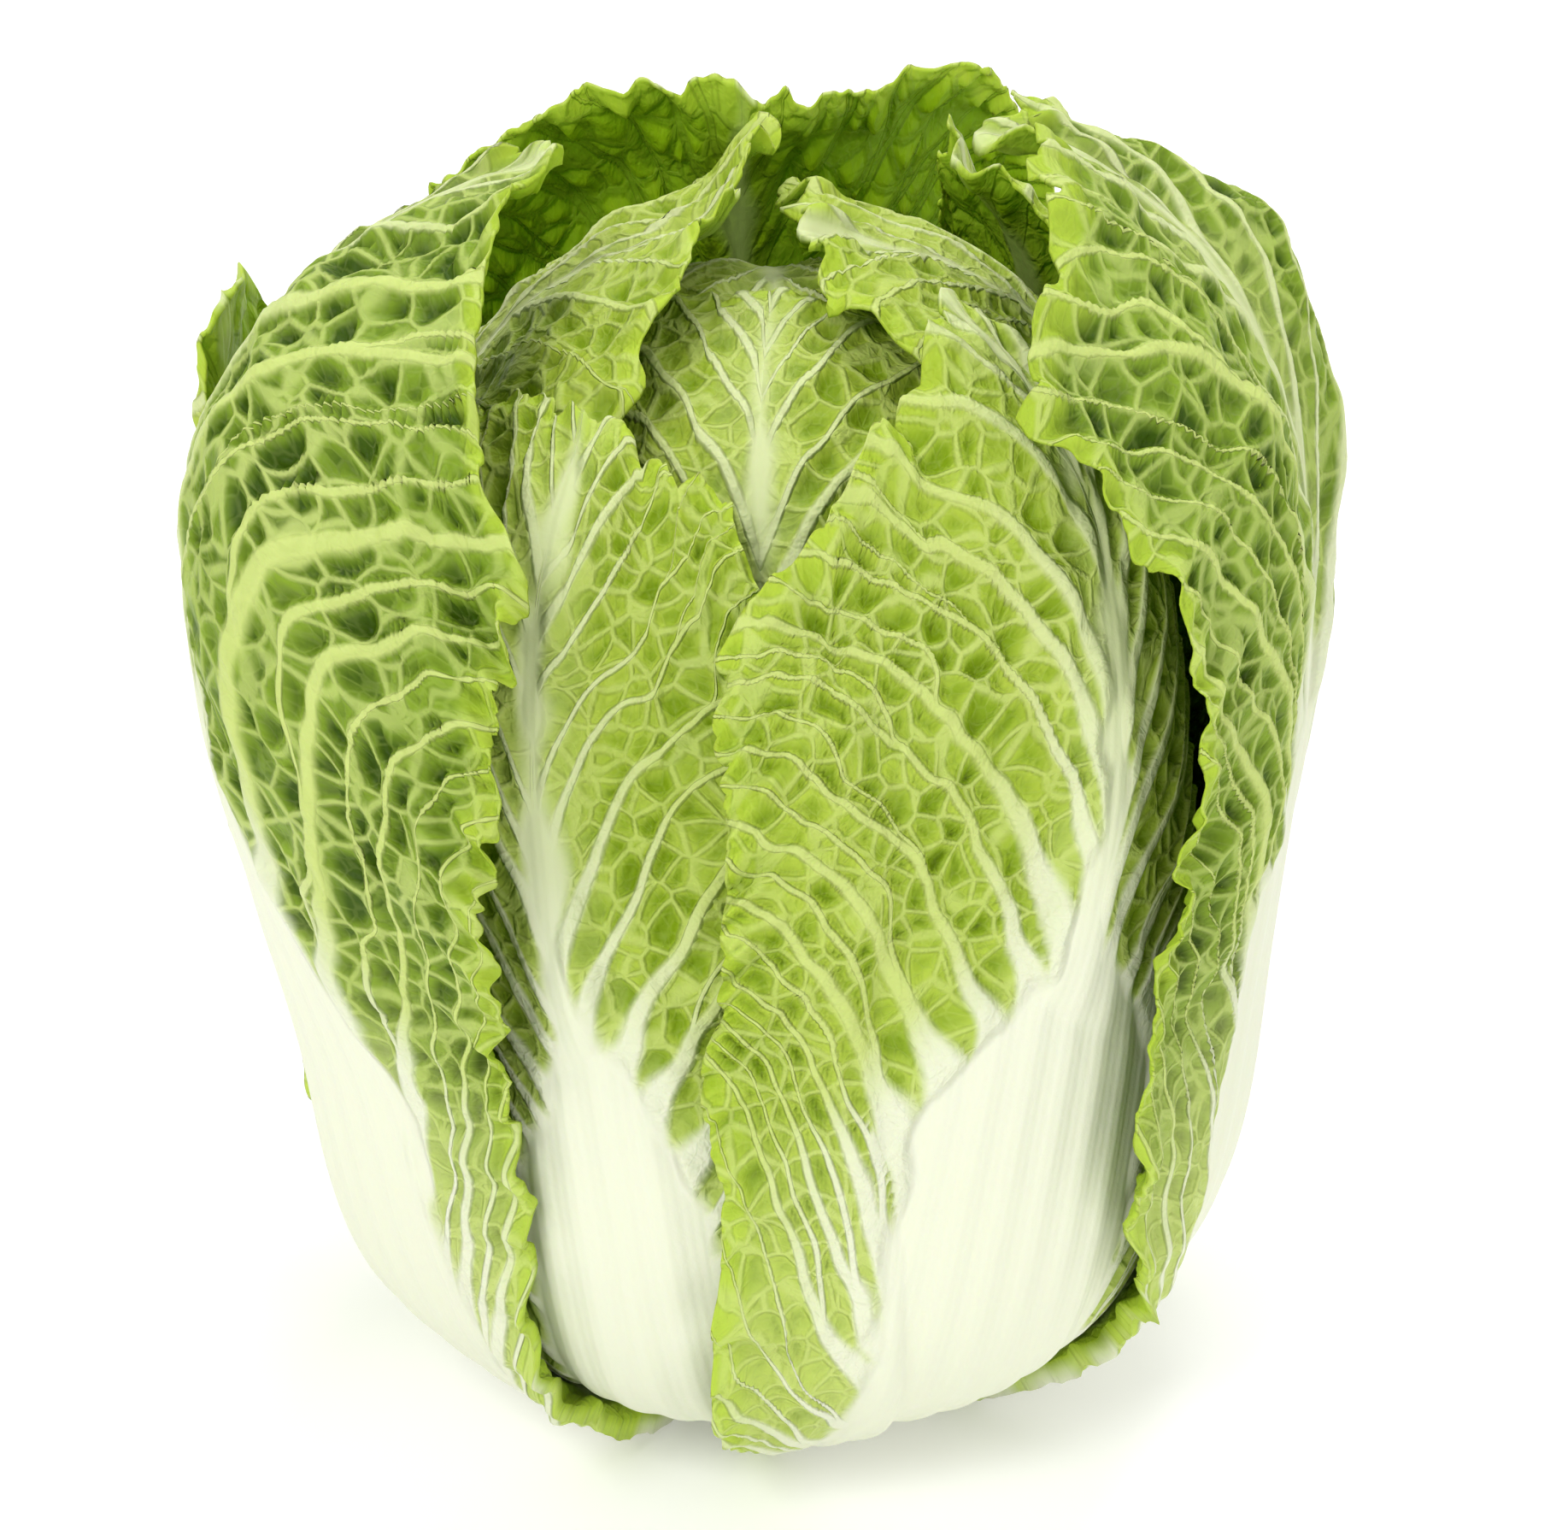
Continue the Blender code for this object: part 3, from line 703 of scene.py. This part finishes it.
def leaf_material(look, shape, colours):
    """Cream stalks and ribs, a net of pale veins and green pockets, darkened towards their hollows with
    painted shade.
    """
    name = f"leaf_{look}"
    found = bpy.data.materials.get(name)
    if found:
        return found
    made, w, shader = new_material(name)

    def attribute(key):
        return w.node("ShaderNodeAttribute", attribute_name=key).outputs["Fac"]

    keys = ("rank", "space", "width", "fork", "stalk_edge", "across", "margin", "age")
    value = {key: attribute(key) for key in keys}
    value["place"] = w.node("ShaderNodeAttribute", attribute_name="place").outputs["Vector"]
    stalk, ribs, net, _ = vein_masks(w, value, shape.net_cell, 0.0)
    outside = attribute("outside")
    fine_net = w.fade(w.borders(value["place"], FINE_NET_SCALE), 0.01, 0.13)
    coordinates = w.node("ShaderNodeTexCoord").outputs["Object"]
    mottle = w.speckle(coordinates, 75.0, 4.0)
    blotch = w.speckle(coordinates, 19.0, 2.0)

    # The pocket colour is partly the blade's own green and partly painted shade for the hollows.
    light, pocket_shade = opaque(getattr(colours, look)), opaque(getattr(colours, look + "_pocket_shade"))
    vein, white, margin = opaque(colours.vein), opaque(colours.stalk), opaque(colours.margin)
    tuft = w.minus(w.chances(value["place"], FINE_NET_SCALE), 0.5)
    tuft = w.times(tuft, w.minus(1.0, fine_net))
    # Painted shade: the blade darkens towards the pocket colour where the relief sinks it (the hollow
    # attribute). Random tufts, mottle and blotches of tone are added, and the paler low blade is taken off.
    shade_and_mottle = w.times(attribute("hollow"), 2.0)
    shade_and_mottle = w.plus(shade_and_mottle, w.times(tuft, 0.5))
    shade_and_mottle = w.plus(shade_and_mottle, w.times(w.minus(mottle, 0.5), 0.8))
    shade_and_mottle = w.plus(shade_and_mottle, w.times(w.minus(blotch, 0.5), 0.9))
    low = w.fade(value["age"], 0.25, 0.6)
    shade_and_mottle = w.minus(shade_and_mottle, w.times(low, 0.35))
    shade_and_mottle = w.node("ShaderNodeClamp", {"Value": shade_and_mottle}).outputs[0]
    blade = w.mix(shade_and_mottle, light, pocket_shade)
    blade = w.mix(w.times(low, 0.9 if look == "outer" else 0.42), blade, vein)
    blade = w.mix(w.times(w.fade(value["stalk_edge"], 0.0, 0.012), 0.4), blade, vein)
    blade = w.mix(w.times(fine_net, 0.08), blade, vein)
    rim = w.times(w.fade(value["margin"], 0.001, 0.007), 0.75)
    blade = w.mix(rim, blade, margin)
    faint = w.plus(w.times(blotch, 0.9), 0.05)
    blade = w.mix(w.times(net, faint), blade, vein)
    white = w.mix(w.times(w.fade(value["age"], 0.80, 0.52), 0.6), white, vein)
    rib_tint = w.mix(w.fade(value["stalk_edge"], 0.004, 0.030), vein, white)
    blade = w.mix(w.times(ribs, 0.9), blade, rib_tint)
    # Inner faces: the inside colour, pulled towards the pocket colour on ribs and net, and towards the blade
    # colour away from the painted shade of the pockets.
    within = w.mix(w.times(w.most(ribs, net), 0.3), opaque(colours.inside), pocket_shade)
    within = w.mix(w.times(w.minus(1.0, shade_and_mottle), 0.35), within, light)
    within = w.mix(rim, within, margin)
    blade = w.mix(outside, within, blade)
    blade = w.mix(w.times(stalk, w.plus(w.times(outside, 0.7), 0.3)), blade, white)
    w.join(blade, shader.inputs["Base Color"])

    flutes = w.math("SINE", w.times(value["across"], 2 * math.pi / FINE_FLUTE_PITCH))
    grain = w.speckle(coordinates, 420.0, 3.0)
    crest = w.most(ribs, w.times(net, 0.6))
    pucker = w.speckle(value["place"], 2.2, 2.0)
    crest = w.plus(crest, w.times(fine_net, 0.08))
    crest = w.plus(crest, w.times(pucker, 1.5))
    crest = w.times(crest, w.minus(1.0, stalk))
    height = w.plus(crest, w.times(w.times(flutes, stalk), 0.035))
    height = w.plus(height, w.times(grain, 0.25))
    bump = w.node("ShaderNodeBump", {"Height": height, "Strength": 0.9, "Distance": 0.0007})
    w.join(bump.outputs[0], shader.inputs["Normal"])
    shader.inputs["Roughness"].default_value = 0.5
    shader.inputs["Specular IOR Level"].default_value = 0.15
    shader.inputs["Subsurface Weight"].default_value = 0.15
    shader.inputs["Subsurface Radius"].default_value = (0.6, 1.0, 0.2)
    shader.inputs["Subsurface Scale"].default_value = 0.0025
    return made


def core_material(colours):
    """Pale flesh with a green ring near the rim and browned specks."""
    made, w, shader = new_material("core_flesh")
    coordinates = w.node("ShaderNodeTexCoord").outputs["Object"]
    specks = w.speckle(coordinates, 180.0, 5.0)
    x, y, _ = w.node("ShaderNodeSeparateXYZ", {"Vector": coordinates}).outputs
    radius = w.math("SQRT", w.plus(w.math("POWER", x, 2.0), w.math("POWER", y, 2.0)))
    from_ring = w.math("ABSOLUTE", w.minus(radius, 0.72 * FOOT_RADIUS))
    ring = w.times(w.fade(from_ring, 0.0, 0.004), 0.5)
    flesh = w.mix(ring, opaque(colours.core), (0.50, 0.58, 0.22, 1))
    flesh = w.mix(w.times(specks, 0.25), flesh, (0.55, 0.47, 0.26, 1))
    w.join(flesh, shader.inputs["Base Color"])
    bump = w.node("ShaderNodeBump", {"Height": specks, "Strength": 0.6, "Distance": 0.0004})
    w.join(bump.outputs[0], shader.inputs["Normal"])
    shader.inputs["Roughness"].default_value = 0.55
    return made


def build_leaves(leaves):
    """Lays each leaf over the head and gives it its relief and finish."""
    shape, colours = bpy.context.scene.cabbage_shape, bpy.context.scene.cabbage_colours
    tree = bpy.data.node_groups.get("Leaf relief") or relief_tree()
    for leaf in leaves:
        directions, inner, outer, values, vectors = leaf_grid(leaf, shape)
        faces = to_points(directions, inner), to_points(directions, outer)
        piece = shell_mesh(leaf.name + "_skin", *faces, values, vectors)
        head.lay(directions, outer)
        inputs = {
            "Rib height": shape.rib_height, "Net cell": shape.net_cell, "Flute": shape.flute,
            "Material": leaf_material(leaf.look, shape, colours),
        }
        bake_modifier(piece, tree, inputs)
        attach(piece, "root")
        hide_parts(leaf.name)


# Operators -----------------------------------------------------------------------------------------


class CABBAGE_OT_core(Operator):
    """Build the cut core that the leaves grow from"""

    bl_idname = "cabbage.core"
    bl_label = "Core"

    def execute(self, context):
        head.start()
        top = CORE_HIGH[2]
        profile = [
            (0.0, 0.0),
            (FOOT_RADIUS - CUT_EDGE, 0.0),
            (FOOT_RADIUS, CUT_EDGE),
            (0.0025, top - 0.002),
            (0.0, top),
        ]
        mesh = bmesh.new()
        verts = [mesh.verts.new((r, 0, z)) for r, z in profile]
        edges = [mesh.edges.new(pair) for pair in zip(verts, verts[1:])]
        bmesh.ops.spin(mesh, geom=verts + edges, cent=(0, 0, 0), axis=(0, 0, 1), angle=2 * math.pi, steps=96)
        bmesh.ops.remove_doubles(mesh, verts=mesh.verts[:], dist=1e-6)
        bmesh.ops.recalc_face_normals(mesh, faces=mesh.faces[:])
        data = bpy.data.meshes.new("core_stem")
        mesh.to_mesh(data)
        mesh.free()
        piece = bpy.data.objects.new("core_stem", data)
        context.scene.collection.objects.link(piece)
        piece.data.materials.append(core_material(context.scene.cabbage_colours))
        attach(piece, "root")
        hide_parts("core")
        return {"FINISHED"}


class CABBAGE_OT_heart(Operator):
    """Lay the hidden leaves around the growing point"""

    bl_idname = "cabbage.heart"
    bl_label = "Heart leaves"

    def execute(self, context):
        build_leaves(heart_leaves())
        return {"FINISHED"}


class CABBAGE_OT_inner(Operator):
    """Lay the leaves that close the top of the head"""

    bl_idname = "cabbage.inner"
    bl_label = "Inner leaves"

    def execute(self, context):
        build_leaves(INNER_LEAVES)
        return {"FINISHED"}


class CABBAGE_OT_front(Operator):
    """Lay the two broad leaves on the front"""

    bl_idname = "cabbage.front"
    bl_label = "Front leaves"

    def execute(self, context):
        build_leaves(FRONT_LEAVES)
        return {"FINISHED"}


class CABBAGE_OT_back(Operator):
    """Lay the leaves around the back"""

    bl_idname = "cabbage.back"
    bl_label = "Back leaves"

    def execute(self, context):
        build_leaves(BACK_LEAVES)
        return {"FINISHED"}


class CABBAGE_OT_outer(Operator):
    """Lay the two outermost leaves"""

    bl_idname = "cabbage.outer"
    bl_label = "Outer leaves"

    def execute(self, context):
        build_leaves(OUTER_LEAVES)
        return {"FINISHED"}


CAMERA_TARGET = (0.0018, 0.0, 0.1188)
CAMERA_ELEVATION = 27.0
CAMERA_DISTANCE = 1.0
CAMERA_LENS = 124.6


def aim(obj, target):
    obj.rotation_mode = "QUATERNION"
    obj.rotation_quaternion = (target - obj.location).to_track_quat("-Z", "Y")


class CABBAGE_OT_stage(Operator):
    """Set the floor, the lights and the camera around the head"""

    bl_idname = "cabbage.stage"
    bl_label = "Stage"

    def execute(self, context):
        scene = context.scene
        data = bpy.data.meshes.new("floor")
        data.from_pydata([(-6, -6, 0), (6, -6, 0), (6, 6, 0), (-6, 6, 0)], [], [(0, 1, 2, 3)])
        floor = bpy.data.objects.new("floor", data)
        scene.collection.objects.link(floor)
        made, _, shader = new_material("floor_paint")
        shader.inputs["Base Color"].default_value = opaque(scene.cabbage_colours.floor)
        shader.inputs["Roughness"].default_value = 0.7
        shader.inputs["Emission Color"].default_value = (1, 1, 1, 1)
        shader.inputs["Emission Strength"].default_value = 0.16
        data.materials.append(made)

        camera = bpy.data.objects.new("camera", bpy.data.cameras.new("camera"))
        camera.data.lens = CAMERA_LENS
        camera.data.sensor_width = 36.0
        target = Vector(CAMERA_TARGET)
        tilt = math.radians(CAMERA_ELEVATION)
        camera.location = target + CAMERA_DISTANCE * Vector((0, -math.cos(tilt), math.sin(tilt)))
        aim(camera, target)
        scene.collection.objects.link(camera)
        scene.camera = camera

        for name, place, energy, size in (
            ("key_light", (-0.7, -1.1, 1.3), 12.5, 0.6),
            ("fill_light", (1.2, -0.9, 0.5), 3.5, 1.0),
            ("top_light", (0.2, 0.5, 1.5), 10.0, 0.8),
        ):
            lamp = bpy.data.objects.new(name, bpy.data.lights.new(name, "AREA"))
            lamp.data.energy = energy
            lamp.data.size = size
            lamp.location = place
            aim(lamp, target)
            scene.collection.objects.link(lamp)
        world = bpy.data.worlds.new("room")
        world.use_nodes = True
        world.node_tree.nodes["Background"].inputs["Color"].default_value = (1, 1, 1, 1)
        world.node_tree.nodes["Background"].inputs["Strength"].default_value = 0.64
        scene.world = world
        scene.view_settings.view_transform = "Standard"
        return {"FINISHED"}


class CABBAGE_PT_panel(Panel):
    bl_idname = "CABBAGE_PT_panel"
    bl_label = "Napa cabbage"
    bl_space_type = "VIEW_3D"
    bl_region_type = "UI"
    bl_category = "Cabbage"

    def draw(self, context):
        for group in (context.scene.cabbage_shape, context.scene.cabbage_colours):
            for key in group.__annotations__:
                self.layout.prop(group, key)
        for step in STEPS:
            self.layout.operator(step.bl_idname)


STEPS = (
    CABBAGE_OT_core,
    CABBAGE_OT_heart,
    CABBAGE_OT_inner,
    CABBAGE_OT_front,
    CABBAGE_OT_back,
    CABBAGE_OT_outer,
    CABBAGE_OT_stage,
)
CLASSES = (CabbageShape, CabbageColours) + STEPS + (CABBAGE_PT_panel,)


def register():
    for cls in CLASSES:
        bpy.utils.register_class(cls)
    bpy.types.Scene.cabbage_shape = PointerProperty(type=CabbageShape)
    bpy.types.Scene.cabbage_colours = PointerProperty(type=CabbageColours)


def unregister():
    del bpy.types.Scene.cabbage_colours
    del bpy.types.Scene.cabbage_shape
    for cls in reversed(CLASSES):
        bpy.utils.unregister_class(cls)


def main():
    register()
    bpy.ops.cabbage.core()
    bpy.ops.cabbage.heart()
    bpy.ops.cabbage.inner()
    bpy.ops.cabbage.front()
    bpy.ops.cabbage.back()
    bpy.ops.cabbage.outer()
    bpy.ops.cabbage.stage()


if __name__ == "__main__":
    main()
